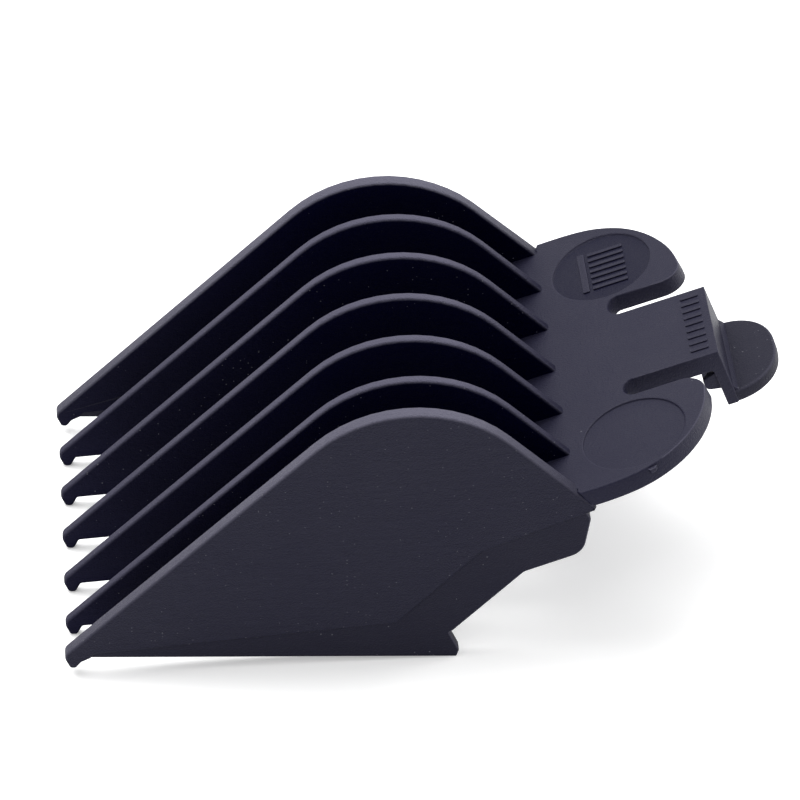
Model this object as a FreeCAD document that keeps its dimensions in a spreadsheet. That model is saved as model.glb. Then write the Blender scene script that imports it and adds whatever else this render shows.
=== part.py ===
import FreeCAD, Part
import os
import Sketcher
from FreeCAD import Placement, Rotation, Vector

# A clip-on guide comb for a hair clipper: seven fins under a sloping deck, with a sprung latch.
# All sizes in mm. X runs from the fin tips to the latch, Y across the comb, Z up.
# The deck frame starts where the deck's top passes deck_x, deck_z, and is tilted by deck_tilt.

doc = FreeCAD.newDocument("guide_comb")
sheet = doc.addObject("Spreadsheet::Sheet", "Sheet")

SIZES = [
    ("comb_width", 47.0), ("wall_thick", 1.8), ("fin_thick", 1.25), ("skirt_inset", 0.2),
    ("pitch_inner", 8.05), ("pitch_mid", 7.7),
    # fin outline: front slope, crest and rear slope
    ("slope_angle", 46.7), ("slope_start", -2.25), ("inner_drop", 1.15),
    ("crest_round", 15.3), ("fall_angle", 40.7), ("root_s", 4.85),
    # hooks at the tips
    ("nose_x", 2.3), ("hook_x", 2.85), ("hook_wide", 0.75), ("hook_deep", 1.55),
    ("hook_back", 0.6), ("hook_step", 0.75), ("sole_x", 5.2), ("sole_drop", 0.2),
    # the line along which wall and skirt meet, and the undersides of the inner fins
    ("seam_front", 0.3), ("tooth_x", 38.9), ("tooth_z", 4.6), ("ramp_angle", 48.4),
    ("rim_deep", 3.8), ("rim_angle", 25.2), ("fin_sole_x", 12.0), ("fin_sole_z", -0.75),
    # skirt with its heel claw
    ("heel_x", 46.1), ("heel_high", 0.7), ("claw_x", 44.8), ("claw_z", 3.2), ("claw_step", 0.4),
    ("skirt_back", 4.889), ("skirt_drop", 2.874), ("tail_x", 58.95), ("tail_high", 4.85),
    ("tail_top_x", 59.5), ("tail_drop", 0.495), ("tail_round", 2.3),
    # deck, ears and slots, in the deck frame
    ("deck_tilt", 22.0), ("deck_x", 53.1), ("deck_z", 20.8), ("deck_thick", 2.0),
    ("ear_start", 5.0), ("ear_s", 8.5), ("ear_proud", 1.0),
    ("ear_round", 12.8), ("ear_tip", 21.1), ("ear_corner", 1.6),
    ("slot_s", 13.25), ("slot_wide", 2.55),
    ("disc_s", 12.1), ("disc_edge", 7.4), ("disc_round", 5.85), ("disc_deep", 0.25),
    # latch
    ("arm_half", 6.65), ("arm_end", 22.0), ("lip_thick", 1.25), ("lip_deep", 7.4),
    ("pad_thick", 1.6), ("pad_s", 22.25), ("pad_round", 6.75), ("root_gap", 0.05),
    ("catch_out", 1.45), ("catch_drop", 1.4), ("catch_nose", 0.95), ("catch_under", 0.45),
    ("catch_inset", 0.4), ("rib_long", 1.2), ("rib_deep", 1.1), ("rib_gap", 0.25),
    # raised marks
    ("bar_long", 2.5), ("bar_wide", 0.5), ("bar_high", 0.2), ("bar_step", 1.25), ("bar_end", 0.9),
    ("spine_long", 7.4), ("spine_wide", 0.8), ("mark_gap", 0.4), ("mark_high", 0.2),
    ("mark_wide", 0.5), ("mark_step", 1.1), ("mark_long", 4.2),
]
DERIVED = [
    ("half_width", "=comb_width / 2"), ("wall_y", "=half_width - wall_thick / 2"),
    ("wall_in", "=half_width - wall_thick"),
    ("skirt_thick", "=wall_thick - skirt_inset"), ("skirt_y", "=wall_in + skirt_thick / 2"),
    ("fin_y1", "=pitch_inner"), ("fin_y2", "=pitch_inner + pitch_mid"),
    # the deck's top line and the rear slope: z = fall_top - x * tan(fall_angle)
    ("root_x", "=deck_x + root_s * cos(deck_tilt)"), ("root_z", "=deck_z + root_s * sin(deck_tilt)"),
    ("fall_top", "=root_z + root_x * tan(fall_angle)"),
    ("crest_x", "=(fall_top - slope_start) / (tan(slope_angle) + tan(fall_angle))"),
    ("crest_z", "=slope_start + crest_x * tan(slope_angle)"),
    ("nose_z", "=slope_start + nose_x * tan(slope_angle)"),
    ("hook_z", "=-hook_deep"), ("hook_x2", "=hook_x + hook_wide"),
    ("hook_x3", "=hook_x2 + hook_back"), ("hook_z3", "=-hook_step"), ("sole_z", "=-sole_drop"),
    # seam corners: tooth line, ramp top and rear end
    ("ramp_x", "=(deck_z - (deck_x - tooth_x) * tan(deck_tilt) - rim_deep / cos(deck_tilt) - tooth_z)"
     " / (tan(ramp_angle) - tan(deck_tilt)) + tooth_x"),
    ("ramp_z", "=tooth_z + (ramp_x - tooth_x) * tan(ramp_angle)"),
    ("rim_x", "=(fall_top - ramp_z + ramp_x * tan(rim_angle)) / (tan(fall_angle) + tan(rim_angle))"),
    ("rim_z", "=fall_top - rim_x * tan(fall_angle)"),
    ("seat_x", "=tail_top_x - 0.8"), ("seat_z", "=ramp_z + (seat_x - ramp_x) * tan(rim_angle)"),
    # the skirt's lower corner and tail keep their distance from the seam
    ("skirt_x", "=ramp_x + skirt_back"), ("skirt_z", "=ramp_z - skirt_drop"),
    ("tail_top_z", "=seat_z - tail_drop"), ("tail_z", "=tail_top_z - tail_high"),
    ("claw_x2", "=claw_x + claw_step * cos(rim_angle)"),
    ("claw_z2", "=claw_z + claw_step * sin(rim_angle)"),
    # inner fins: the same outline, lower by inner_drop at the front, ending on the deck
    ("in_start", "=slope_start - inner_drop"),
    ("in_crest_x", "=(fall_top - in_start) / (tan(slope_angle) + tan(fall_angle))"),
    ("in_crest_z", "=in_start + in_crest_x * tan(slope_angle)"),
    ("in_nose_x", "=nose_x + 0.4"), ("in_nose_z", "=in_start + in_nose_x * tan(slope_angle)"),
    ("in_hook_x", "=hook_x + 0.4"), ("in_hook_x2", "=in_hook_x + hook_wide"),
    ("in_hook_z", "=hook_z - inner_drop * 0.8"), ("in_hook_x3", "=in_hook_x2 + hook_back"),
    ("in_hook_z3", "=in_hook_z + hook_deep - hook_step + 0.2"),
    ("in_ramp_x", "=(deck_z - (deck_x - tooth_x) * tan(deck_tilt) - deck_thick / cos(deck_tilt)"
     " - tooth_z) / (tan(ramp_angle) - tan(deck_tilt)) + tooth_x"),
    ("in_ramp_z", "=tooth_z + (in_ramp_x - tooth_x) * tan(ramp_angle)"),
    ("deck_front", "=(in_ramp_x - deck_x - deck_thick * sin(deck_tilt)) / cos(deck_tilt)"),
    ("deck_front_x", "=deck_x + deck_front * cos(deck_tilt)"),
    ("deck_front_z", "=deck_z + deck_front * sin(deck_tilt)"),
    # deck frame
    ("ear_y", "=half_width + ear_proud - ear_round"), ("disc_y", "=half_width - disc_edge"),
    ("slot_out", "=arm_half + slot_wide"),
    ("slot_y", "=arm_half + slot_wide / 2"), ("slot_round", "=slot_wide / 2"),
    ("ear_tip_y", "=ear_y + sqrt(ear_round^2 - (ear_tip - ear_s)^2)"),
    ("ear_top_y", "=ear_y + ear_round"), ("lip_end", "=arm_end + lip_thick"),
    ("arm_low", "=-deck_thick"), ("half_thick", "=deck_thick / 2"), ("axis_h", "=-deck_thick / 2"),
    ("lip_low", "=-lip_deep"), ("pad_top", "=pad_thick - lip_deep"),
    ("pad_edge_y", "=sqrt(pad_round^2 - (lip_end - pad_s)^2)"), ("pad_end", "=pad_s + pad_round"),
    ("catch_s", "=arm_end - catch_out"), ("catch_h1", "=-deck_thick - catch_drop"),
    ("catch_h2", "=catch_h1 - catch_nose"), ("catch_h3", "=catch_h2 - catch_under"),
    ("rib_s2", "=arm_end - rib_gap"), ("rib_s1", "=rib_s2 - rib_long"),
    ("rib_h", "=-deck_thick - rib_deep"), ("catch_wide", "=2 * (arm_half - catch_inset)"),
    ("arm_wide", "=2 * arm_half"),
    # lying on a table the comb stands on its inner hooks and its heels
    ("rest_pitch", "=atan((sole_z - in_hook_z) / (heel_x - in_hook_x2))"),
]
for row, (alias, value) in enumerate(SIZES + DERIVED, start=1):
    sheet.set("A%d" % row, alias)
    sheet.set("B%d" % row, str(value))
    sheet.setAlias("B%d" % row, alias)
doc.recompute()


def val(alias):
    found = getattr(sheet, alias)
    return float(found.Value if hasattr(found, "Value") else found)


NODES = {}
COMB = Placement(Vector(0, 0, 0), Rotation(Vector(0, 1, 0), val("rest_pitch")))
DECK = Placement(Vector(val("deck_x"), 0, val("deck_z")), Rotation(Vector(0, 1, 0), -val("deck_tilt")))


def new_body(label, frame, y=0.0):
    body = doc.addObject("PartDesign::Body", label)
    body.Label = label
    body.Placement = COMB * frame * Placement(Vector(0, y, 0), Rotation())
    NODES[label] = body
    return body


def new_sketch(body, plane, name):
    sketch = body.newObject("Sketcher::SketchObject", name)
    own_plane = [item for item in body.Origin.OriginFeatures if item.Role == plane][0]
    sketch.AttachmentSupport = [(own_plane, "")]
    sketch.MapMode = "FlatFace"
    return sketch


def pin_point(sketch, geo, pos, x, y, sign=(1, 1)):
    """Holds one sketch point at the sheet's x and y."""
    for kind, alias, s in (("DistanceX", x, sign[0]), ("DistanceY", y, sign[1])):
        if alias is None:
            on_axis = -2 if kind == "DistanceX" else -1
            sketch.addConstraint(Sketcher.Constraint("PointOnObject", geo, pos, on_axis))
            continue
        index = sketch.addConstraint(Sketcher.Constraint(kind, -1, 1, geo, pos, s * val(alias)))
        formula = ("Sheet.%s" if s > 0 else "-Sheet.%s") % alias
        sketch.setExpression("Constraints[%d]" % index, formula)


def closed_outline(sketch, corners, flip=1):
    """A closed outline of straight sides through (x alias, y alias) corners; flip mirrors y."""
    def num(a):
        return 0.0 if a is None else val(a)
    points = [Vector(num(x), flip * num(y), 0) for x, y in corners]
    for i, point in enumerate(points):
        sketch.addGeometry(Part.LineSegment(point, points[(i + 1) % len(points)]), False)
    for i in range(len(points)):
        sketch.addConstraint(Sketcher.Constraint("Coincident", i, 2, (i + 1) % len(points), 1))
    for i, (x, y) in enumerate(corners):
        pin_point(sketch, i, 1, x, y, (1, flip))


def pad_of(body, sketch, length, both_ways=False, down=False):
    pad = body.newObject("PartDesign::Pad", body.Name + "_pad")
    pad.Profile = sketch
    pad.setExpression("Length", "Sheet." + length)
    if both_ways:
        pad.SideType = "Symmetric"
    pad.Reversed = down
    sketch.Visibility = False
    doc.recompute()
    return pad


def corner_edges(shape, corners, axis):
    """Names of the straight edges along axis that pass through the given 2-D corners."""
    found = []
    for number, edge in enumerate(shape.Edges, start=1):
        a, b = edge.Vertexes[0].Point, edge.Vertexes[-1].Point
        if (b - a).Length < 1e-6 or abs((b - a).normalize().dot(axis)) < 0.999:
            continue
        for u, v in corners:
            here = Vector(a.x, 0, a.z) if abs(axis.y) > 0.5 else Vector(a.x, a.y, 0)
            goal = Vector(u, 0, v) if abs(axis.y) > 0.5 else Vector(u, v, 0)
            if (here - goal).Length < 1e-3:
                found.append("Edge%d" % number)
    return found


def round_corners(body, base, corners, radius, axis, flip=1):
    """Rounds the corners given as alias pairs, by a sheet radius or a plain number."""
    goals = [(val(x), flip * val(y)) for x, y in corners]
    fillet = body.newObject("PartDesign::Fillet", body.Name + "_round")
    fillet.Base = (base, corner_edges(base.Shape, goals, axis))
    if isinstance(radius, str):
        fillet.setExpression("Radius", "Sheet." + radius)
    else:
        fillet.Radius = radius
    base.Visibility = False
    doc.recompute()
    return fillet


ACROSS, UPRIGHT = Vector(0, 1, 0), Vector(0, 0, 1)
LEVEL = Placement()

# Side walls: the outermost fins, thicker than the rest, with hook, long slope and round crest.
for label, side in (("side_wall_left", 1), ("side_wall_right", -1)):
    body = new_body(label, LEVEL, side * val("wall_y"))
    sketch = new_sketch(body, "XZ_Plane", label + "_outline")
    closed_outline(sketch, [
        ("nose_x", "nose_z"), ("hook_x", "hook_z"), ("hook_x2", "hook_z"), ("hook_x3", "hook_z3"),
        ("sole_x", "sole_z"), ("sole_x", "seam_front"), ("tooth_x", "tooth_z"),
        ("ramp_x", "ramp_z"), ("rim_x", "rim_z"), ("crest_x", "crest_z")])
    step = pad_of(body, sketch, "wall_thick", both_ways=True)
    step = round_corners(body, step, [("crest_x", "crest_z")], "crest_round", ACROSS)
    step = round_corners(body, step, [("hook_x", "hook_z"), ("hook_x2", "hook_z")], 0.3, ACROSS)
    round_corners(body, step, [("nose_x", "nose_z")], 0.4, ACROSS)

# Side skirts: the lower parts of the sides, set in a little, that cover the blade's ends.
for label, side in (("side_skirt_left", 1), ("side_skirt_right", -1)):
    body = new_body(label, LEVEL, side * val("skirt_y"))
    sketch = new_sketch(body, "XZ_Plane", label + "_outline")
    closed_outline(sketch, [
        ("sole_x", "sole_z"), ("heel_x", "sole_z"), ("heel_x", "heel_high"), ("claw_x", "claw_z"),
        ("claw_x2", "claw_z2"), ("skirt_x", "skirt_z"), ("tail_x", "tail_z"),
        ("tail_top_x", "tail_top_z"), ("seat_x", "seat_z"), ("ramp_x", "ramp_z"),
        ("tooth_x", "tooth_z"), ("sole_x", "seam_front")])
    step = pad_of(body, sketch, "skirt_thick", both_ways=True)
    step = round_corners(body, step, [("tail_x", "tail_z")], "tail_round", ACROSS)
    round_corners(body, step, [("skirt_x", "skirt_z")], 0.9, ACROSS)

# Inner fins: five thinner ones, numbered across the comb from the left side.
fin_places = [("fin_2", "fin_y2", 1), ("fin_3", "fin_y1", 1), ("fin_4", None, 1),
              ("fin_5", "fin_y1", -1), ("fin_6", "fin_y2", -1)]
for label, place, side in fin_places:
    body = new_body(label, LEVEL, side * val(place) if place else 0.0)
    sketch = new_sketch(body, "XZ_Plane", label + "_outline")
    closed_outline(sketch, [
        ("in_nose_x", "in_nose_z"), ("in_hook_x", "in_hook_z"), ("in_hook_x2", "in_hook_z"),
        ("in_hook_x3", "in_hook_z3"), ("fin_sole_x", "fin_sole_z"), ("tooth_x", "tooth_z"),
        ("in_ramp_x", "in_ramp_z"), ("deck_front_x", "deck_front_z"), ("root_x", "root_z"),
        ("in_crest_x", "in_crest_z")])
    step = pad_of(body, sketch, "fin_thick", both_ways=True)
    step = round_corners(body, step, [("in_crest_x", "in_crest_z")], "crest_round", ACROSS)
    step = round_corners(body, step, [("in_hook_x", "in_hook_z"), ("in_hook_x2", "in_hook_z")],
                         0.3, ACROSS)
    round_corners(body, step, [("in_nose_x", "in_nose_z")], 0.4, ACROSS)

# Deck plate: lies between the walls; a tongue runs back to the slots and carries the latch.
body = new_body("deck_plate", DECK)
sketch = new_sketch(body, "XY_Plane", "deck_outline")
outline = [("deck_front", "wall_in"), ("ear_start", "wall_in"), ("ear_start", "slot_out"),
           ("slot_s", "slot_out")]
points = [Vector(val(x), side * val(y), 0) for side, row in ((1, outline), (-1, outline[::-1]))
          for x, y in row]
for i, point in enumerate(points):
    sketch.addGeometry(Part.LineSegment(point, points[(i + 1) % 8]), False)
for i in range(8):
    sketch.addConstraint(Sketcher.Constraint("Coincident", i, 2, (i + 1) % 8, 1))
for i, (x, y) in enumerate(outline + outline[::-1]):
    pin_point(sketch, i, 1, x, y, (1, 1 if i < 4 else -1))
step = pad_of(body, sketch, "deck_thick", down=True)
sketch = new_sketch(body, "XY_Plane", "slot_ends")
for side in (1, -1):
    centre = Vector(val("slot_s"), side * val("slot_y"), 0)
    geo = sketch.addGeometry(Part.Circle(centre, Vector(0, 0, 1), val("slot_round")), False)
    pin_point(sketch, geo, 3, "slot_s", "slot_y", (1, side))
    index = sketch.addConstraint(Sketcher.Constraint("Radius", geo, val("slot_round")))
    sketch.setExpression("Constraints[%d]" % index, "Sheet.slot_round")
cut = body.newObject("PartDesign::Pocket", "slot_end_cut")
cut.Profile, cut.Type = sketch, "ThroughAll"
sketch.Visibility = False
doc.recompute()
# the hollow seat that the latch's rolled root turns in
sketch = new_sketch(body, "XZ_Plane", "root_seat")
geo = sketch.addGeometry(Part.Circle(Vector(val("slot_s"), val("axis_h"), 0), Vector(0, 0, 1),
                                     val("half_thick") + val("root_gap")), False)
pin_point(sketch, geo, 3, "slot_s", "axis_h")
index = sketch.addConstraint(Sketcher.Constraint("Radius", geo, val("half_thick") + val("root_gap")))
sketch.setExpression("Constraints[%d]" % index, "Sheet.half_thick + Sheet.root_gap")
seat = body.newObject("PartDesign::Pocket", "root_seat_cut")
seat.Profile = sketch
seat.setExpression("Length", "Sheet.arm_wide")
seat.SideType = "Symmetric"
sketch.Visibility = False
doc.recompute()

# Ears: the round lobes on both sides of the latch, each with a shallow round recess on top.
for label, side in (("ear_left", 1), ("ear_right", -1)):
    body = new_body(label, DECK)
    sketch = new_sketch(body, "XY_Plane", label + "_outline")
    corners = [("ear_s", "ear_top_y"), ("ear_start", "ear_top_y"), ("ear_start", "slot_out"),
               ("ear_tip", "slot_out"), ("ear_tip", "ear_tip_y")]
    points = [Vector(val(x), side * val(y), 0) for x, y in corners]
    for i in range(4):
        sketch.addGeometry(Part.LineSegment(points[i], points[i + 1]), False)
    lean = 0.7 * val("ear_round")
    rise = (val("ear_round") ** 2 - lean ** 2) ** 0.5
    middle = Vector(val("ear_s") + lean, side * (val("ear_y") + rise), 0)
    run = (points[4], middle, points[0]) if side > 0 else (points[0], middle, points[4])
    sketch.addGeometry(Part.Arc(*run), False)
    for i in range(3):
        sketch.addConstraint(Sketcher.Constraint("Coincident", i, 2, i + 1, 1))
    arc_ends = (1, 2) if side > 0 else (2, 1)
    sketch.addConstraint(Sketcher.Constraint("Coincident", 3, 2, 4, arc_ends[0]))
    sketch.addConstraint(Sketcher.Constraint("Coincident", 4, arc_ends[1], 0, 1))
    for i, (x, y) in enumerate(corners[:4]):
        pin_point(sketch, i, 1, x, y, (1, side))
    pin_point(sketch, 3, 2, "ear_tip", "ear_tip_y", (1, side))
    index = sketch.addConstraint(Sketcher.Constraint("Radius", 4, val("ear_round")))
    sketch.setExpression("Constraints[%d]" % index, "Sheet.ear_round")
    step = pad_of(body, sketch, "deck_thick", down=True)
    step = round_corners(body, step, [("ear_tip", "slot_out"), ("ear_tip", "ear_tip_y")],
                         "ear_corner", UPRIGHT, side)
    sketch = new_sketch(body, "XY_Plane", label + "_disc")
    geo = sketch.addGeometry(Part.Circle(Vector(val("disc_s"), side * val("disc_y"), 0),
                                         Vector(0, 0, 1), val("disc_round")), False)
    pin_point(sketch, geo, 3, "disc_s", "disc_y", (1, side))
    index = sketch.addConstraint(Sketcher.Constraint("Radius", geo, val("disc_round")))
    sketch.setExpression("Constraints[%d]" % index, "Sheet.disc_round")
    cut = body.newObject("PartDesign::Pocket", label + "_recess")
    cut.Profile = sketch
    cut.setExpression("Length", "Sheet.disc_deep")
    sketch.Visibility = False
    doc.recompute()
    # the wall's sloping end leaves through the ear's outer front corner
    sketch = new_sketch(body, "XZ_Plane", label + "_wall_end")
    sketch.AttachmentOffset = Placement(Vector(0, 0, -side * val("wall_in")), Rotation())
    foot = DECK.inverse().multVec(Vector(val("rim_x"), 0, val("rim_z")))
    root = DECK.inverse().multVec(Vector(val("root_x"), 0, val("root_z")))
    up = (root - foot).normalize()
    top = root + up * 2
    low = foot - up * 2
    tri = [Vector(top.x, top.z, 0), Vector(low.x, low.z, 0), Vector(low.x - 9, low.z, 0),
           Vector(top.x - 9, top.z, 0)]
    for i in range(4):
        sketch.addGeometry(Part.LineSegment(tri[i], tri[(i + 1) % 4]), False)
    for i in range(4):
        sketch.addConstraint(Sketcher.Constraint("Coincident", i, 2, (i + 1) % 4, 1))
        sketch.addConstraint(Sketcher.Constraint("Block", i))
    cut = body.newObject("PartDesign::Pocket", label + "_wall_gap")
    cut.Profile, cut.Type, cut.Reversed = sketch, "ThroughAll", side < 0
    sketch.Visibility = False
    doc.recompute()

# Release arm: the sprung tongue between the slots, rolled at its root so that it can turn.
body = new_body("release_arm", DECK)
sketch = new_sketch(body, "XZ_Plane", "arm_outline")
top, low = Vector(val("slot_s"), 0, 0), Vector(val("slot_s"), val("arm_low"), 0)
end_top, end_low = Vector(val("arm_end"), 0, 0), Vector(val("arm_end"), val("arm_low"), 0)
sketch.addGeometry(Part.LineSegment(low, end_low), False)
sketch.addGeometry(Part.LineSegment(end_low, end_top), False)
sketch.addGeometry(Part.LineSegment(end_top, top), False)
nose = Vector(val("slot_s") - val("half_thick"), val("axis_h"), 0)
sketch.addGeometry(Part.Arc(top, nose, low), False)
sketch.addConstraint(Sketcher.Constraint("Coincident", 0, 2, 1, 1))
sketch.addConstraint(Sketcher.Constraint("Coincident", 1, 2, 2, 1))
arc_ends = (1, 2) if (sketch.Geometry[3].StartPoint - top).Length < 1e-6 else (2, 1)
sketch.addConstraint(Sketcher.Constraint("Coincident", 2, 2, 3, arc_ends[0]))
sketch.addConstraint(Sketcher.Constraint("Coincident", 3, arc_ends[1], 0, 1))
pin_point(sketch, 0, 1, "slot_s", "arm_low")
pin_point(sketch, 1, 1, "arm_end", "arm_low")
pin_point(sketch, 2, 1, "arm_end", None)
pin_point(sketch, 2, 2, "slot_s", None)
index = sketch.addConstraint(Sketcher.Constraint("DistanceX", -1, 1, 3, 3, val("slot_s")))
sketch.setExpression("Constraints[%d]" % index, "Sheet.slot_s")
pad_of(body, sketch, "arm_wide", both_ways=True)

# End lip: turns down behind the blade's rear edge.
body = new_body("end_lip", DECK)
sketch = new_sketch(body, "XZ_Plane", "lip_outline")
closed_outline(sketch, [("arm_end", None), ("arm_end", "lip_low"), ("lip_end", "lip_low"),
                        ("lip_end", None)])
pad_of(body, sketch, "arm_wide", both_ways=True)

# Catch wedge on the lip's inner face, and the stop rib in front of it under the arm.
body = new_body("catch_wedge", DECK)
sketch = new_sketch(body, "XZ_Plane", "catch_outline")
closed_outline(sketch, [("arm_end", "arm_low"), ("catch_s", "catch_h1"), ("catch_s", "catch_h2"),
                        ("arm_end", "catch_h3")])
step = pad_of(body, sketch, "catch_wide", both_ways=True)
round_corners(body, step, [("catch_s", "catch_h1"), ("catch_s", "catch_h2")], 0.25, ACROSS)
body = new_body("stop_rib", DECK)
sketch = new_sketch(body, "XZ_Plane", "rib_outline")
closed_outline(sketch, [("rib_s1", "arm_low"), ("rib_s1", "rib_h"), ("rib_s2", "arm_low")])
pad_of(body, sketch, "catch_wide", both_ways=True)

# Thumb pad: the half-round tab at the foot of the lip, parallel to the deck.
body = new_body("thumb_pad", DECK)
body.Placement = body.Placement * Placement(Vector(0, 0, val("pad_top")), Rotation())
sketch = new_sketch(body, "XY_Plane", "pad_outline")
edge = [Vector(val("lip_end"), -val("pad_edge_y"), 0), Vector(val("lip_end"), val("pad_edge_y"), 0)]
sketch.addGeometry(Part.LineSegment(edge[1], edge[0]), False)
sketch.addGeometry(Part.Arc(edge[0], Vector(val("pad_end"), 0, 0), edge[1]), False)
sketch.addConstraint(Sketcher.Constraint("Coincident", 0, 2, 1, 1))
sketch.addConstraint(Sketcher.Constraint("Coincident", 1, 2, 0, 1))
pin_point(sketch, 0, 1, "lip_end", "pad_edge_y")
pin_point(sketch, 0, 2, "lip_end", "pad_edge_y", (1, -1))
index = sketch.addConstraint(Sketcher.Constraint("Radius", 1, val("pad_round")))
sketch.setExpression("Constraints[%d]" % index, "Sheet.pad_round")
pad_of(body, sketch, "pad_thick", down=True)


def raised_bars(label, bars, floor_h):
    """One node of separate raised bars: (s, y, length along s, width along y, height) each."""
    made = []
    for number, (s, y, long, wide, high) in enumerate(bars, start=1):
        box = doc.addObject("Part::Box", "%s_%d" % (label, number))
        for side_name, alias in (("Length", long), ("Width", wide), ("Height", high)):
            box.setExpression(side_name, "Sheet." + alias)
        box.Placement = Placement(Vector(s - val(long) / 2, y - val(wide) / 2, floor_h), Rotation())
        made.append(box)
    group = doc.addObject("Part::Compound", label)
    group.Label, group.Links = label, made
    group.Placement = COMB * DECK
    NODES[label] = group
    doc.recompute()


# Raised marks: a small comb sign in the left ear's recess and a row of bars at the arm's end.
spine_s = val("disc_s") - (val("mark_long") + val("mark_gap")) / 2
strokes_s = spine_s + val("spine_wide") / 2 + val("mark_gap") + val("mark_long") / 2
raised_bars("size_marks", [(spine_s, val("disc_y"), "spine_wide", "spine_long", "mark_high")] + [
    (strokes_s, val("disc_y") + (n - 3) * val("mark_step"), "mark_long", "mark_wide", "mark_high")
    for n in range(7)], -val("disc_deep"))
bars_s = val("lip_end") - val("bar_end") - val("bar_long") / 2
raised_bars("grip_bars", [(bars_s, (n - 4) * val("bar_step"), "bar_long", "bar_wide", "bar_high")
                          for n in range(9)], 0.0)

# The origin is the middle of the footprint, on the table.
doc.recompute()
whole = Part.makeCompound([node.Shape for node in NODES.values()])
box = whole.optimalBoundingBox(False, False)
shift = Placement(Vector(-(box.XMin + box.XMax) / 2, -(box.YMin + box.YMax) / 2, -box.ZMin), Rotation())
for node in NODES.values():
    node.Placement = shift * node.Placement
doc.recompute()

for item in doc.Objects:
    if "Invalid" in item.State or "Error" in item.State:
        raise RuntimeError("%s is not built: %s" % (item.Label, item.State))
os.makedirs("parts", exist_ok=True)
for label, node in NODES.items():
    shape = node.Shape
    if shape.isNull() or not shape.isValid() or not shape.Solids:
        raise RuntimeError("%s has no valid solid" % label)
    shape.exportStep("parts/%s.step" % label)
    b = shape.optimalBoundingBox(False, False)
    print("%-18s %8.1f mm3  x %7.2f %7.2f  y %7.2f %7.2f  z %6.2f %6.2f" % (
        label, shape.Volume, b.XMin, b.XMax, b.YMin, b.YMax, b.ZMin, b.ZMax))
axis = (shift * COMB * DECK).multVec(Vector(val("slot_s"), 0, val("axis_h")))
print("latch axis %.4f %.4f %.4f  pitch %.4f" % (axis.x, axis.y, axis.z, val("rest_pitch")))
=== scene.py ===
from math import atan2, cos, pi, radians, sin, tan
import bmesh
import bpy
from mathutils import Matrix, Vector
from mathutils.geometry import interpolate_bezier, tessellate_polygon


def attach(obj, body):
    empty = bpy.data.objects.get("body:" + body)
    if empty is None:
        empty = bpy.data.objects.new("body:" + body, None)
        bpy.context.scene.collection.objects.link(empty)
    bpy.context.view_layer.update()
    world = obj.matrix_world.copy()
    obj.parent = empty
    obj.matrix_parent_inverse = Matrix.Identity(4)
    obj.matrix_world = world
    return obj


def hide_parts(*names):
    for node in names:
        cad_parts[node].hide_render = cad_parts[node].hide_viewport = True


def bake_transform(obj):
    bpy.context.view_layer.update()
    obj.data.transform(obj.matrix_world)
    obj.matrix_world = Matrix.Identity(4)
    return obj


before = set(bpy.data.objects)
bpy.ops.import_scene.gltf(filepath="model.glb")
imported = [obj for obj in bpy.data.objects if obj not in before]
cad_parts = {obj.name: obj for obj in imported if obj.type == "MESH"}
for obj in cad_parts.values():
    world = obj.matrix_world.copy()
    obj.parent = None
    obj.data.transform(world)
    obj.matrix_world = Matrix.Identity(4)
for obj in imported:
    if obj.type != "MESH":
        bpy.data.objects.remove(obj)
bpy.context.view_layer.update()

# Side walls: the two outer fins, moulded in one with the rest of the comb from dark plastic. Each
# is 1.8 mm thick and runs from the hook at its tip up the long slope and over the crest, and its
# lower edge stands proud of the skirt along the seam.
PITCH = radians(3.0864)  # the comb leans on its hooks and its heels
ORIGIN_X, ORIGIN_Z = -43.1643, 2.6818  # brings the middle of the comb's footprint to the origin


def level(x, y, z):
    """A place in millimetres along, across and up from the plane that the walls' soles lie in."""
    return Vector(((x * cos(PITCH) + z * sin(PITCH) + ORIGIN_X) / 1000, y / 1000,
                   (z * cos(PITCH) - x * sin(PITCH) + ORIGIN_Z) / 1000))


def softened(corners):
    """An outline from (u, v, radius) corners, anticlockwise, with each corner turned to an arc."""
    points = []
    for i, (u, v, r) in enumerate(corners):
        here = Vector((u, v))
        a = Vector(corners[i - 1][:2]) - here
        b = Vector(corners[(i + 1) % len(corners)][:2]) - here
        if r <= 0:
            points.append((u, v))
            continue
        a.normalize()
        b.normalize()
        half = a.angle(b) / 2
        middle = here + (a + b).normalized() * (r / sin(half))
        first = here + a * (r / tan(half)) - middle
        last = here + b * (r / tan(half)) - middle
        start, turn = atan2(first.y, first.x), first.angle_signed(last)
        count = max(3, int(abs(turn) / radians(7)) + 1)  # a point for about every 7 degrees
        for k in range(count + 1):
            # mathutils counts a clockwise turn as positive
            now = start - turn * k / count
            points.append((middle.x + r * cos(now), middle.y + r * sin(now)))
    return points


def shrunk(outline, by, plain):
    """The outline moved inward by that much, but for the sides listed as plain."""
    count, moved = len(outline), []
    for i in range(count):
        p0, p1, p2 = (Vector(outline[(i + k) % count]) for k in (-1, 0, 1))
        d0, d1 = (p1 - p0).normalized(), (p2 - p1).normalized()
        n0, n1 = Vector((-d0.y, d0.x)), Vector((-d1.y, d1.x))
        by0 = 0.0 if (i - 1) % count in plain else by
        by1 = 0.0 if i in plain else by
        cross = n0.x * n1.y - n0.y * n1.x
        if abs(cross) < 0.02:
            step = (n0 + n1).normalized() * (by0 + by1) / 2
        else:
            step = Vector(((by0 * n1.y - by1 * n0.y) / cross, (by1 * n0.x - by0 * n1.x) / cross))
        moved.append((p1.x + step.x, p1.y + step.y))
    return moved


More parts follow.
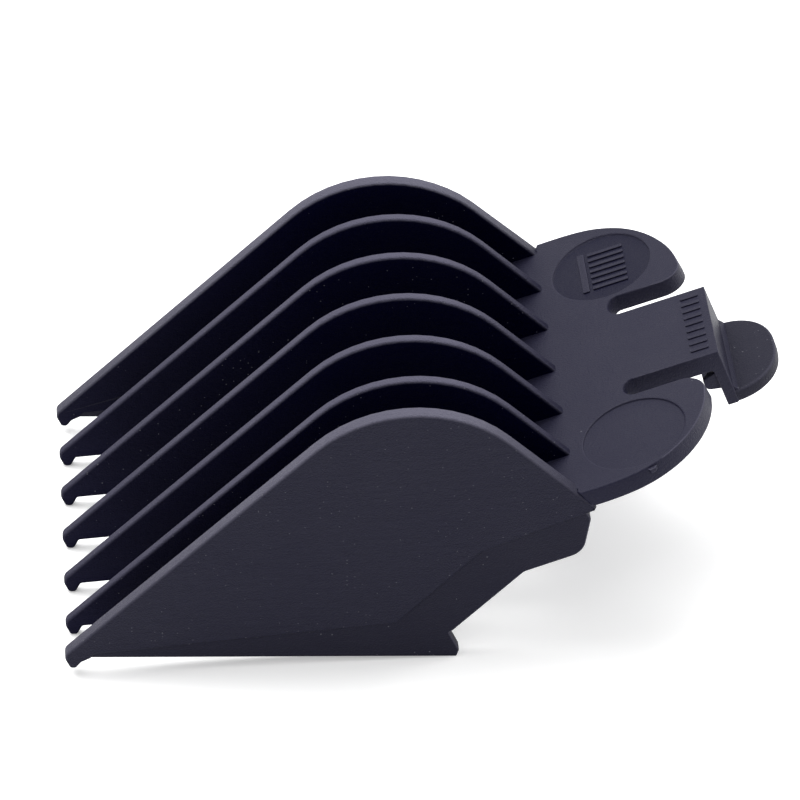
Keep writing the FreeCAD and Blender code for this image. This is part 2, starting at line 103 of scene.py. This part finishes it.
def smooth_mesh(name, points, faces, light):
    """A smooth-shaded object. light gives each point its painted light: above zero a painted
    highlight, below zero painted shade.
    """
    mesh = bpy.data.meshes.new(name)
    mesh.from_pydata([tuple(p) for p in points], [], faces)
    mesh.attributes.new("light", "FLOAT", "POINT").data.foreach_set("value", light)
    work = bmesh.new()
    work.from_mesh(mesh)
    bmesh.ops.remove_doubles(work, verts=work.verts, dist=1e-7)
    bmesh.ops.recalc_face_normals(work, faces=work.faces)
    work.to_mesh(mesh)
    work.free()
    mesh.polygons.foreach_set("use_smooth", [True] * len(mesh.polygons))
    mesh.set_sharp_from_angle(angle=radians(40))
    thing = bpy.data.objects.new(name, mesh)
    bpy.context.scene.collection.objects.link(thing)
    return thing


def moulded(name, outline, low, high, place, soft, plain=(), dishes=(), painted_side_light=None, edge=0.3,
            draft=0.0, shades=(None, None)):
    """A plate of that outline between two levels, with rounded rims of radius soft. plain lists
    the sides that are left out because another piece goes on there. dishes are (u, v, radius,
    depth, shade) recesses on top, each with a painted highlight where its wall bends over and a
    floor painted darker by shade. crown(u, facing) gives the sides' painted light at u, a painted
    highlight above zero and painted shade below, where facing is how far they look to +v. edge is
    how strong the painted highlight on the rims is, and shades(u) gives the painted light on the
    flat faces at the bottom and top. With draft, the top is that much smaller than the bottom."""
    steps, count = 4, len(outline)
    flat = soft + 0.04  # the flat faces begin just inside the rounded rims
    turns = [pi / 2 * k / steps for k in range(steps + 1)]
    # each ring is how far in, at which level, how strong a painted highlight its rim gets and how
    # much of a side it is
    rings = [(flat, low, 0.0, 0.0)]
    rings += [(soft * (1 - sin(t)), low + soft * (1 - cos(t)), edge * sin(2 * t), sin(t))
              for t in turns]
    rings += [(soft * (1 - sin(t)), high - soft * (1 - cos(t)), edge * sin(2 * t), sin(t))
              for t in reversed(turns)]
    rings += [(flat, high, 0.0, 0.0)]
    points, faces, light = [], [], []
    sides = []
    for i in range(count):
        run = Vector(outline[(i + 1) % count]) - Vector(outline[i - 1])
        facing = -run.normalized().x
        sides.append(painted_side_light(outline[i][0], facing) if painted_side_light else 0.0)
    for by, w, rim, share in rings:
        by += draft * (w - low) / (high - low)
        points += [place(u, v, w) for u, v in shrunk(outline, by, plain)]
        # painted shade on a side spreads over its rims, and a rim takes the stronger of its own
        # painted highlight and its side's
        light += [side * min(1.0, 3 * share) if side < 0 else max(rim, side * share)
                  for side in sides]
    # the flat bottom and top faces take their painted shade or highlight from shades
    for shade, start in zip(shades, (0, (len(rings) - 1) * count)):
        if shade:
            light[start:start + count] = [shade(u) for u, v in outline]
    for k in range(len(rings) - 1):
        for i in range(count):
            j = (i + 1) % count
            if i not in plain:
                faces.append((k * count + i, k * count + j,
                              (k + 1) * count + j, (k + 1) * count + i))
    bottom = [Vector((u, v, 0)) for u, v in shrunk(outline, flat, plain)]
    faces += [tuple(t) for t in tessellate_polygon([bottom])]
    top = [[Vector((u, v, 0)) for u, v in shrunk(outline, flat + draft, plain)]]
    names = [(len(rings) - 1) * count + i for i in range(count)]
    for u, v, radius, depth, shade in dishes:
        around, first = 96, len(points)
        half = depth / 2
        # the recess's wall is an S from the flat outside it down to its floor, with a painted
        # highlight at its upper bend and its floor painted darker by shade
        walls = [(radius + 0.2, high, 0.0), (radius + 0.12, high, 0.0),
                 (radius + 0.04, high - half * 0.3, 0.25), (radius, high - half, 0.1),
                 (radius - 0.04, high - half * 1.7, 0.0), (radius - 0.12, high - depth, -shade),
                 (radius - 0.2, high - depth, -shade)]
        for r, w, rim in walls:
            points += [place(u + r * cos(2 * pi * k / around), v + r * sin(2 * pi * k / around), w)
                       for k in range(around)]
            light += [rim] * around
        for k in range(len(walls) - 1):
            a, b = first + k * around, first + (k + 1) * around
            faces += [(a + i, a + (i + 1) % around, b + (i + 1) % around, b + i)
                      for i in range(around)]
        faces.append(tuple(first + (len(walls) - 1) * around + i for i in range(around)))
        order = list(reversed(range(around)))
        top.append([Vector((u + walls[0][0] * cos(2 * pi * k / around),
                            v + walls[0][0] * sin(2 * pi * k / around), 0)) for k in order])
        names += [first + k for k in order]
    faces += [tuple(names[i] for i in t) for t in tessellate_polygon(top)]
    return smooth_mesh(name, points, faces, light)


def shader_group(name, inputs, outputs):
    """An empty shader group with those sockets, and its input and output nodes."""
    group = bpy.data.node_groups.new(name, "ShaderNodeTree")
    for label, kind, value in inputs:
        socket = group.interface.new_socket(label, in_out="INPUT", socket_type=kind)
        if value is not None:
            socket.default_value = value
    for label, kind in outputs:
        group.interface.new_socket(label, in_out="OUTPUT", socket_type=kind)
    return group, group.nodes.new("NodeGroupInput"), group.nodes.new("NodeGroupOutput")


def add(tree, kind, values=(), **settings):
    """A new node of that kind, with its inputs set from values and its own settings."""
    node = tree.nodes.new(kind)
    for key, value in settings.items():
        setattr(node, key, value)
    for key, value in dict(values).items():
        node.inputs[key].default_value = value
    return node


# Mould grain: fine grain and coarser waves that can be stretched, and slow patches of gloss.
grain, group_in, group_out = shader_group(
    "mould grain", [("Fine", "NodeSocketFloat", 0.35), ("Waves", "NodeSocketFloat", 0.05),
                    ("Stretch", "NodeSocketVector", None)],
    [("Normal", "NodeSocketVector"), ("Patch", "NodeSocketFloat")])
place = add(grain, "ShaderNodeTexCoord")
fine = add(grain, "ShaderNodeTexNoise", {"Scale": 5200.0, "Detail": 2.0, "Roughness": 0.6})
waves = add(grain, "ShaderNodeTexNoise", {"Scale": 950.0, "Detail": 3.0, "Roughness": 0.55})
patch = add(grain, "ShaderNodeTexNoise", {"Scale": 90.0, "Detail": 4.0, "Roughness": 0.6})
drawn = add(grain, "ShaderNodeVectorMath", operation="MULTIPLY")
grain.links.new(place.outputs["Object"], drawn.inputs[0])
grain.links.new(group_in.outputs["Stretch"], drawn.inputs[1])
grain.links.new(drawn.outputs["Vector"], waves.inputs["Vector"])
for node in (fine, patch):
    grain.links.new(place.outputs["Object"], node.inputs["Vector"])
first = add(grain, "ShaderNodeBump", {"Distance": 0.0004})
second = add(grain, "ShaderNodeBump", {"Distance": 0.0012})
grain.links.new(fine.outputs["Fac"], first.inputs["Height"])
grain.links.new(group_in.outputs["Fine"], first.inputs["Strength"])
grain.links.new(waves.outputs["Fac"], second.inputs["Height"])
grain.links.new(group_in.outputs["Waves"], second.inputs["Strength"])
grain.links.new(first.outputs["Normal"], second.inputs["Normal"])
grain.links.new(second.outputs["Normal"], group_out.inputs["Normal"])
grain.links.new(patch.outputs["Fac"], group_out.inputs["Patch"])

# Dust specks: a small dot in some of the cells, of a size that differs from cell to cell.
dust, group_in, group_out = shader_group(
    "dust specks", [("Amount", "NodeSocketFloat", 0.06)], [("Mask", "NodeSocketFloat")])
place = add(dust, "ShaderNodeTexCoord")
cells = add(dust, "ShaderNodeTexVoronoi", {"Scale": 2400.0, "Randomness": 1.0})
pick = add(dust, "ShaderNodeSeparateColor")
rare = add(dust, "ShaderNodeMath", operation="LESS_THAN")
size = add(dust, "ShaderNodeMath", {1: 0.22}, operation="MULTIPLY")
near = add(dust, "ShaderNodeMath", operation="LESS_THAN")
both = add(dust, "ShaderNodeMath", operation="MULTIPLY")
dust.links.new(place.outputs["Object"], cells.inputs["Vector"])
dust.links.new(cells.outputs["Color"], pick.inputs["Color"])
dust.links.new(pick.outputs["Red"], rare.inputs[0])
dust.links.new(group_in.outputs["Amount"], rare.inputs[1])
dust.links.new(pick.outputs["Green"], size.inputs[0])
dust.links.new(cells.outputs["Distance"], near.inputs[0])
dust.links.new(size.outputs["Value"], near.inputs[1])
dust.links.new(rare.outputs["Value"], both.inputs[0])
dust.links.new(near.outputs["Value"], both.inputs[1])
dust.links.new(both.outputs["Value"], group_out.inputs["Mask"])


# The first colour is the painted highlights' colour, which painted shade pushes away from; the
# second is the dust specks' colour.
PAINTED_HIGHLIGHT, DUSTY = (0.079, 0.076, 0.108, 1), (0.09, 0.09, 0.11, 1)


def plastic(name, colour, rough, waves, stretch, specks, gloss=0.15):
    """Dark moulded plastic with fine grain, painted highlights and painted shade from each point's
    light, and a few specks of dust. waves and stretch shape the coarser grain, and specks is the
    share of cells that hold a speck."""
    made = bpy.data.materials.new(name)
    made.use_nodes = True
    tree = made.node_tree
    shader = tree.nodes["Principled BSDF"]
    shader.inputs["Specular IOR Level"].default_value = gloss
    skin = add(tree, "ShaderNodeGroup")
    skin.node_tree = grain
    skin.inputs["Fine"].default_value = 0.3 + 2 * waves
    skin.inputs["Waves"].default_value = waves
    skin.inputs["Stretch"].default_value = stretch
    tree.links.new(skin.outputs["Normal"], shader.inputs["Normal"])
    # each point's light mixes the colour towards the painted highlight, or away from it as painted
    # shade
    light = add(tree, "ShaderNodeAttribute", attribute_name="light")
    painted_light_mix = add(tree, "ShaderNodeMix", data_type="RGBA", clamp_factor=False)
    painted_light_mix.inputs["A"].default_value = (*colour, 1)
    painted_light_mix.inputs["B"].default_value = PAINTED_HIGHLIGHT
    tree.links.new(light.outputs["Fac"], painted_light_mix.inputs["Factor"])
    speck = add(tree, "ShaderNodeGroup")
    speck.node_tree = dust
    speck.inputs["Amount"].default_value = specks
    dusty = add(tree, "ShaderNodeMix", data_type="RGBA")
    dusty.inputs["B"].default_value = DUSTY
    tree.links.new(speck.outputs["Mask"], dusty.inputs["Factor"])
    tree.links.new(painted_light_mix.outputs["Result"], dusty.inputs["A"])
    tree.links.new(dusty.outputs["Result"], shader.inputs["Base Color"])
    shine = add(tree, "ShaderNodeMapRange", {"From Min": 0.3, "From Max": 0.7,
                                             "To Min": rough - 0.04, "To Max": rough + 0.05})
    tree.links.new(skin.outputs["Patch"], shine.inputs["Value"])
    tree.links.new(shine.outputs["Result"], shader.inputs["Roughness"])
    return made


BETWEEN_FINS = 0.02  # the faces between the fins mirror almost nothing
WALL_LOOK = ((0.009, 0.0087, 0.022), 0.55, 0.15, (0.35, 1, 1.6), 0.12)
wall_plastic = plastic("side wall plastic", *WALL_LOOK)
fin_plastic = plastic("fin plastic", *WALL_LOOK, BETWEEN_FINS)


def finish_piece(thing, material, body, *nodes):
    """Gives a piece its plastic, the body it rides on and the CAD nodes that it stands for."""
    if not thing.data.materials:
        thing.data.materials.append(material)
    if body:
        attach(thing, body)
    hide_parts(*nodes)


def painted_side_light(x, facing):
    """The painted light on the fins' sides: a painted highlight on their tops, most at the crest
    and least at the roots on the deck, and painted shade on their undersides."""
    if facing < 0.3:
        return -0.15 if facing < -0.3 else 0.0
    return 1.0 - 0.55 * max(0.0, (38 - x) / 36) - 0.8 * max(0.0, (x - 44) / 14)


def between(x):
    """The painted shade on the faces between the fins: almost black, but for the tips."""
    return -0.12 * min(1.0, max(0.0, (x - 3) / 12))


def upright(x, z, y):
    """A place in a fin's outline, at that distance across."""
    return level(x, y, z)


def splayed(x, z, y):
    """As upright(), but bent outward a little behind the crest, as the left side is."""
    return level(x, y + min(1.0, max(0.0, (x - 46) / 13)), z)


wall_outline = softened([
    (2.18, 0.063, 1.0), (3.0, -1.55, 0.35), (3.6, -1.55, 0.35), (4.2, -0.75, 0.3), (5.2, -0.2, 0.3),
    (5.6, 0.35, 0.2), (38.9, 4.6, 1.2), (47.71, 14.52, 0.8), (59.72, 20.17, 0.15),
    (59.9, 20.63, 0.15), (38.73, 38.85, 15.3)])
WALL_IN, WALL_OUT = 21.7, 23.5
for side, label, place in ((1, "left", splayed), (-1, "right", upright)):
    lowest, highest = sorted((side * WALL_IN, side * WALL_OUT))
    # the walls get a painted highlight on their tops, and painted shade on their undersides and
    # inner faces
    wall = moulded("wall_%s" % label, wall_outline, lowest, highest, place, soft=0.28, painted_side_light=painted_side_light,
                   shades=(between, None) if side > 0 else (None, between))
    wall.data.materials.append(wall_plastic)
    wall.data.materials.append(fin_plastic)
    for face in wall.data.polygons:
        face.material_index = int(face.normal.y * side < -0.9)
    finish_piece(wall, wall_plastic, "comb", "side_wall_" + label)

# Skirts: thinner sheets of the same dark plastic, moulded in one with the walls below the seam and
# set in by a fifth of a millimetre. Their colour is a little darker than the walls' as painted
# shade under the walls, and their rims get a painted highlight. They end in a flat sole with a claw
# at the heel, and in a rounded tail under the deck.
shade_painted_skirt_plastic = plastic("skirt plastic", (0.0066, 0.0063, 0.0175), 0.6, 0.08, (0.35, 1, 1.6), 0.06)
skirt_outline = softened([
    (5.0, -0.2, 0.0), (45.85, -0.2, 0.15), (46.1, 0.7, 0.4), (44.8, 3.2, 0.2), (45.2, 3.42, 0.05),
    (52.6, 11.65, 1.2), (58.95, 14.35, 2.3), (59.45, 19.0, 0.9), (58.6, 20.25, 0.3),
    (47.6, 15.1, 0.5), (38.6, 5.2, 0.5), (5.0, 0.7, 0.0)])
SKIRT_IN, SKIRT_OUT = 21.72, 23.3
for side, label, place in ((1, "left", splayed), (-1, "right", upright)):
    lowest, highest = sorted((side * SKIRT_IN, side * SKIRT_OUT))
    skirt = moulded("skirt_%s" % label, skirt_outline, lowest, highest, place, soft=0.2, edge=0.5)
    finish_piece(skirt, shade_painted_skirt_plastic, "comb", "side_skirt_" + label)


# Inner fins: five thinner fins of the same plastic, moulded between the walls with the same crest,
# that end in a sharp taper on the deck. Their feet go into the deck.
def geometry_group(name, inputs):
    """An empty geometry group with those inputs besides the geometry itself."""
    group = bpy.data.node_groups.new(name, "GeometryNodeTree")
    group.interface.new_socket("Geometry", in_out="INPUT", socket_type="NodeSocketGeometry")
    for label, kind in inputs:
        group.interface.new_socket(label, in_out="INPUT", socket_type=kind)
    group.interface.new_socket("Geometry", in_out="OUTPUT", socket_type="NodeSocketGeometry")
    return group


# The group's tree sets equal pieces across the comb. The first step from the middle one and the
# steps after it can differ.
row = geometry_group("row across", [("Count", "NodeSocketInt"), ("First Step", "NodeSocketFloat"),
                                    ("Next Step", "NodeSocketFloat"),
                                    ("Material", "NodeSocketMaterial")])
row_in, row_out = row.nodes.new("NodeGroupInput"), row.nodes.new("NodeGroupOutput")


def maths(tree, operation, a, b=None):
    """The outcome of a sum on one or two numbers or sockets."""
    node = add(tree, "ShaderNodeMath", operation=operation)
    for number, value in enumerate((a, b)):
        if value is None:
            continue
        if isinstance(value, (int, float)):
            node.inputs[number].default_value = value
        else:
            tree.links.new(value, node.inputs[number])
    return node.outputs["Value"]


spots = add(row, "GeometryNodePoints")
index = add(row, "GeometryNodeInputIndex")
half = maths(row, "DIVIDE", maths(row, "SUBTRACT", row_in.outputs["Count"], 1.0), 2.0)
from_middle = maths(row, "SUBTRACT", index.outputs["Index"], half)
away = maths(row, "ABSOLUTE", from_middle)
near_part = maths(row, "MULTIPLY", maths(row, "MINIMUM", away, 1.0), row_in.outputs["First Step"])
far_part = maths(row, "MULTIPLY", maths(row, "MAXIMUM", maths(row, "SUBTRACT", away, 1.0), 0.0),
                 row_in.outputs["Next Step"])
across = maths(row, "MULTIPLY", maths(row, "SIGN", from_middle),
               maths(row, "ADD", near_part, far_part))
where = add(row, "ShaderNodeCombineXYZ")
put = add(row, "GeometryNodeInstanceOnPoints")
real = add(row, "GeometryNodeRealizeInstances")
dress = add(row, "GeometryNodeSetMaterial")
row.links.new(row_in.outputs["Count"], spots.inputs["Count"])
row.links.new(across, where.inputs["Y"])
row.links.new(where.outputs["Vector"], spots.inputs["Position"])
row.links.new(spots.outputs[0], put.inputs["Points"])
row.links.new(row_in.outputs["Geometry"], put.inputs["Instance"])
row.links.new(put.outputs["Instances"], real.inputs["Geometry"])
row.links.new(real.outputs["Geometry"], dress.inputs["Geometry"])
row.links.new(row_in.outputs["Material"], dress.inputs["Material"])
row.links.new(dress.outputs["Geometry"], row_out.inputs["Geometry"])


def in_row(piece, name, count, first_step, next_step, material):
    """Repeats a piece across the comb and returns the finished row as one mesh."""
    nodes = piece.modifiers.new("row", "NODES")
    nodes.node_group = row
    values = {"Count": count, "First Step": first_step / 1000, "Next Step": next_step / 1000,
              "Material": material}
    for item in row.interface.items_tree:
        if item.in_out == "INPUT" and item.name in values:
            nodes[item.identifier] = values[item.name]
    piece.update_tag()
    depsgraph = bpy.context.evaluated_depsgraph_get()
    mesh = bpy.data.meshes.new_from_object(piece.evaluated_get(depsgraph))
    made = bpy.data.objects.new(name, mesh)
    bpy.context.scene.collection.objects.link(made)
    bpy.data.objects.remove(piece)
    return made


fin_outline = softened([
    (2.384, -0.87, 1.1), (3.2, -2.47, 0.35), (3.95, -2.47, 0.35), (4.5, -1.3, 0.3),
    (12.0, -0.4, 2.0), (38.9, 4.6, 1.6), (50.3, 17.45, 0.0), (50.6, 18.2, 0.0),
    (58.8, 21.58, 0.0), (39.33, 38.33, 15.3)])
FIN_HALF, FIRST_STEP, NEXT_STEP = 0.625, 8.05, 7.7
# the fins get a painted highlight on their tops, and painted shade on their undersides and side
# faces
fin = moulded("fin", fin_outline, -FIN_HALF, FIN_HALF, upright, soft=0.3, painted_side_light=painted_side_light,
             shades=(between, between))
fins = in_row(fin, "fins", 5, FIRST_STEP, NEXT_STEP, fin_plastic)
finish_piece(fins, fin_plastic, "comb", "fin_2", "fin_3", "fin_4", "fin_5", "fin_6")

# Deck: a 2 mm plate of smoother plastic, moulded in one with the walls, with two round ears that
# come out from inside them. Each ear has a shallow round recess. The slots beside the latch end in
# half circles, and the side that the latch grows from is left open for it.
comb_plastic = plastic("comb plastic", (0.011, 0.0105, 0.026), 0.5, 0.03, (1, 1, 1), 0.008)
TILT = radians(22.0)
DECK_X, DECK_Z, DECK_THICK = 53.1, 20.8, 2.0
SLOT_S, CORNER_S, CORNER = 13.25, 18.4, 2.8
EAR_S, EAR_Y, EAR_LONG = 8.6, 11.45, 12.6
RECESS_Y, RECESS_RADIUS, RECESS_DEEP = 16.1, 5.85, 0.25


def deck(s, y, h):
    """A place in millimetres along the deck's top, across it and up from it."""
    return level(DECK_X + s * cos(TILT) - h * sin(TILT), y, DECK_Z + s * sin(TILT) + h * cos(TILT))


def half_deck(arm, slot, reach, at_wall):
    """One half of the deck's outline, from the arm's side over the slot and round the ear. slot is
    where the ear begins beyond the slot, reach is how far the ear goes out, and at_wall is where
    it meets the wall."""
    middle, half = (arm + slot) / 2, (slot - arm) / 2
    slot_end = [(SLOT_S - sin(t), middle - half * cos(t)) for t in
                [pi * k / 16 for k in range(17)]]
    corner = [(CORNER_S + CORNER * sin(t), slot + CORNER - CORNER * cos(t)) for t in
              [pi / 2 * k / 12 for k in range(13)]]
    lobe = [(EAR_S + EAR_LONG * cos(t), EAR_Y + (reach - EAR_Y) * sin(t)) for t in
            [radians(8 + 66 * k / 26) for k in range(27)]]
    into_wall = interpolate_bezier(Vector(lobe[-1]), Vector((10.4, reach)),
                                   Vector((7.9, at_wall[1] + 0.1)), Vector(at_wall), 12)
    return slot_end + corner + lobe + [tuple(p) for p in into_wall[1:]] + [
        (4.95, 23.4), (4.8, 23.0), (-4.3, 22.9)]


def on_deck(s, y, h):
    """As deck(), but the left ear's outer side stands upright where the rest leans in, and the
    ears' ends follow the walls' rear slope."""
    at_end = min(1.0, max(0.0, (8 - s) / 2)) if s > 4.5 and abs(y) > 22.8 else 0.0
    outward = 0.15 * (h + DECK_THICK) * min(1.0, max(0.0, (y - 18) / 4))
    return deck(s - (0.4 + 0.55 * h) * at_end, y + outward, h)


left_half = half_deck(6.6, 9.4, 24.5, (5.3, 24.45))
right_half = half_deck(6.7, 8.92, 23.85, (5.5, 23.95))
deck_outline = [(s, -y) for s, y in reversed(right_half)] + left_half
# the deck's rims get a stronger painted highlight, its sides a painted highlight towards the rear
# and painted shade towards the front, and the left recess's floor is painted much darker than the
# right's
plate = moulded("deck", deck_outline, -DECK_THICK, 0.0, on_deck, soft=0.14, draft=0.3,
                plain={len(left_half) - 1},
                painted_side_light=lambda s, facing: max(-0.06, min(0.15, (s - 15) / 60)), edge=0.5,
                dishes=[(12.1, RECESS_Y, RECESS_RADIUS, RECESS_DEEP, 0.15),
                        (12.2, -RECESS_Y, RECESS_RADIUS, RECESS_DEEP, 0.02)])
finish_piece(plate, comb_plastic, "comb", "deck_plate", "ear_left", "ear_right")

# Latch: a sprung arm of the deck's plastic that grows out of the deck between the slots and turns
# down into a lip. It bends near its root. The arm's sides lean in a little towards the top.
latch_side = softened([(13.25, 0.0, 0.0), (13.25, -2.0, 0.0), (14.2, -2.2, 0.0), (22.0, -2.2, 0.4),
                       (22.2, -7.4, 0.1), (23.5, -7.4, 0.2), (23.2, 0.0, 0.12)])
latch = moulded("latch_arm_and_lip", latch_side, -6.7, 6.6,
                lambda u, v, w: deck(u, w * (1 - 0.0226 * max(0.0, v + DECK_THICK)), v),
                soft=0.12, plain={0})
finish_piece(latch, comb_plastic, None, "release_arm", "end_lip")
deck(13.3, 0, -1)
deck(19.0, 0, -1)
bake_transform(latch)

# Catch and stop rib: the wedge on the lip's inner face that holds the blade, and the small rib in
# front of it under the arm. Both are plastic, moulded in one with the arm and the lip.
CATCH_HALF = 6.25


def across_arm(s, h, y):
    """A place in the outline of a piece that runs across under the arm."""
    return deck(s, y, h)


catch = moulded("catch", softened([(22.1, -2.9, 0.0), (20.4, -3.45, 0.3), (20.5, -4.85, 0.65),
                                   (22.15, -5.2, 0.0)]),
                -CATCH_HALF, CATCH_HALF, across_arm, soft=0.12)
finish_piece(catch, comb_plastic, "release_latch", "catch_wedge")
rib = moulded("stop_rib", softened([(20.55, -2.1, 0.0), (20.55, -3.15, 0.15), (21.7, -2.1, 0.0)]),
              -CATCH_HALF, CATCH_HALF, across_arm, soft=0.1)
finish_piece(rib, comb_plastic, "release_latch", "stop_rib")

# Thumb pad: a plastic tab like a full D, moulded at the lip's foot with a small fillet between it
# and the lip. It has picked up more dust than the rest.
pad_plastic = plastic("thumb pad plastic", (0.009, 0.0087, 0.02), 0.55, 0.05, (1, 1, 1), 0.35)
LIP_S, PAD_LONG, PAD_HALF, PAD_CURVE = 23.3, 5.68, 6.64, 2.4
pad_outline = [(LIP_S + PAD_LONG * max(0.0, 1 - abs(y / PAD_HALF) ** PAD_CURVE) ** 0.5, y)
               for y in [-PAD_HALF * cos(pi * k / 48) for k in range(49)]]
pad = moulded("thumb_pad", pad_outline, -7.4, -5.8, deck, soft=0.3)
finish_piece(pad, pad_plastic, "release_latch", "thumb_pad")
FILLET_HALF = 6.45
fillet = moulded("pad_fillet", softened([(LIP_S, -5.9, 0.0), (23.95, -5.9, 0.0),
                                         (23.8, -5.62, 0.15), (23.42, -5.15, 0.0)]),
                 -FILLET_HALF, FILLET_HALF, across_arm, soft=0.1)
finish_piece(fillet, comb_plastic, "release_latch", "thumb_pad")

# Gate mark: the small scar on the right ear's side. It is a stub of plastic that stays where the
# plastic flowed into the mould and the rest was broken off.
# its rim gets a strong painted highlight
scar = moulded("gate_mark", softened([(12.85, -22.7, 0.0), (13.2, -23.12, 0.1),
                                      (13.75, -22.95, 0.1), (13.95, -22.55, 0.0)]),
               -0.75, -0.22, deck, soft=0.08, edge=0.8)
finish_piece(scar, comb_plastic, "comb", "ear_right")


# Raised marks: a row of bars at the arm's end, and a small comb sign in the left ear's recess. They
# are strokes of the comb's own plastic that stand up from those faces, moulded with them.
def stroke(name, s, y, long, wide, base, height):
    """A raised stroke with its middle at s and y, on a face at that base level. Its foot goes a
    tenth of a millimetre into the face."""
    corner = 0.15
    around = softened([(s + a * long / 2, y + b * wide / 2, corner)
                       for a, b in ((-1, -1), (1, -1), (1, 1), (-1, 1))])
    # the strokes' rims get a painted highlight
    return moulded(name, around, base - 0.1, base + height, deck, soft=0.07, edge=0.4)


BAR_STEP, TOOTH_STEP = 1.25, 1.1
bar = stroke("bar", 21.25, 0.0, long=2.1, wide=0.45, base=0.0, height=0.18)
bars = in_row(bar, "grip_bars", 9, BAR_STEP, BAR_STEP, comb_plastic)
finish_piece(bars, comb_plastic, "release_latch", "grip_bars")
SIGN_Y, SIGN_HIGH = 16.0, 0.2
tooth = stroke("sign_tooth", 12.8, SIGN_Y, long=4.2, wide=0.5, base=-RECESS_DEEP, height=SIGN_HIGH)
teeth = in_row(tooth, "sign_teeth", 7, TOOTH_STEP, TOOTH_STEP, comb_plastic)
finish_piece(teeth, comb_plastic, "comb", "size_marks")
spine = stroke("sign_spine", 9.9, SIGN_Y, long=0.8, wide=7.4, base=-RECESS_DEEP, height=SIGN_HIGH)
finish_piece(spine, comb_plastic, "comb", "size_marks")

# Stage: a pale floor, soft lamps above and at the right, an even room and the camera.
floor_mesh = bpy.data.meshes.new("floor")
floor_mesh.from_pydata([(-4, -4, 0), (4, -4, 0), (4, 4, 0), (-4, 4, 0)], [], [(0, 1, 2, 3)])
floor = bpy.data.objects.new("floor", floor_mesh)
bpy.context.scene.collection.objects.link(floor)
paper = bpy.data.materials.new("paper")
paper.use_nodes = True
for label, value in (("Base Color", (0.9, 0.9, 0.9, 1)), ("Roughness", 0.9),
                     ("Specular IOR Level", 0.0), ("Emission Color", (1, 1, 1, 1)),
                     ("Emission Strength", 0.3)):
    paper.node_tree.nodes["Principled BSDF"].inputs[label].default_value = value
floor.data.materials.append(paper)


def lamp(name, place, aim, size, power):
    """A soft rectangular lamp at that place that looks at aim."""
    light = bpy.data.lights.new(name, "AREA")
    light.shape, light.size, light.size_y, light.energy = "RECTANGLE", size[0], size[1], power
    holder = bpy.data.objects.new(name, light)
    holder.location = place
    holder.rotation_euler = (Vector(aim) - Vector(place)).to_track_quat("-Z", "Y").to_euler()
    bpy.context.scene.collection.objects.link(holder)


lamp("overhead", (-0.2, 0.3, 0.8), (0, 0, 0.01), (0.8, 0.8), 11.0)
lamp("right", (0.8, 0.3, 0.35), (0, 0, 0.02), (0.5, 0.5), 4.0)

world = bpy.data.worlds.new("room")
bpy.context.scene.world = world
world.use_nodes = True
world.node_tree.nodes["Background"].inputs["Color"].default_value = (1, 1, 1, 1)
world.node_tree.nodes["Background"].inputs["Strength"].default_value = 0.72
bpy.context.scene.view_settings.view_transform = "Standard"

eye = bpy.data.cameras.new("camera")
eye.lens, eye.sensor_width, eye.clip_end = 224.2, 36.0, 20.0
camera = bpy.data.objects.new("camera", eye)
camera.location = (-0.03745, -0.45239, 0.34947)
camera.rotation_euler = (Matrix.Rotation(radians(-4.485), 3, "Z")
                         @ Matrix.Rotation(radians(90 - 36.097), 3, "X")
                         @ Matrix.Rotation(radians(0.17), 3, "Z")).to_euler()
bpy.context.scene.collection.objects.link(camera)
bpy.context.scene.camera = camera
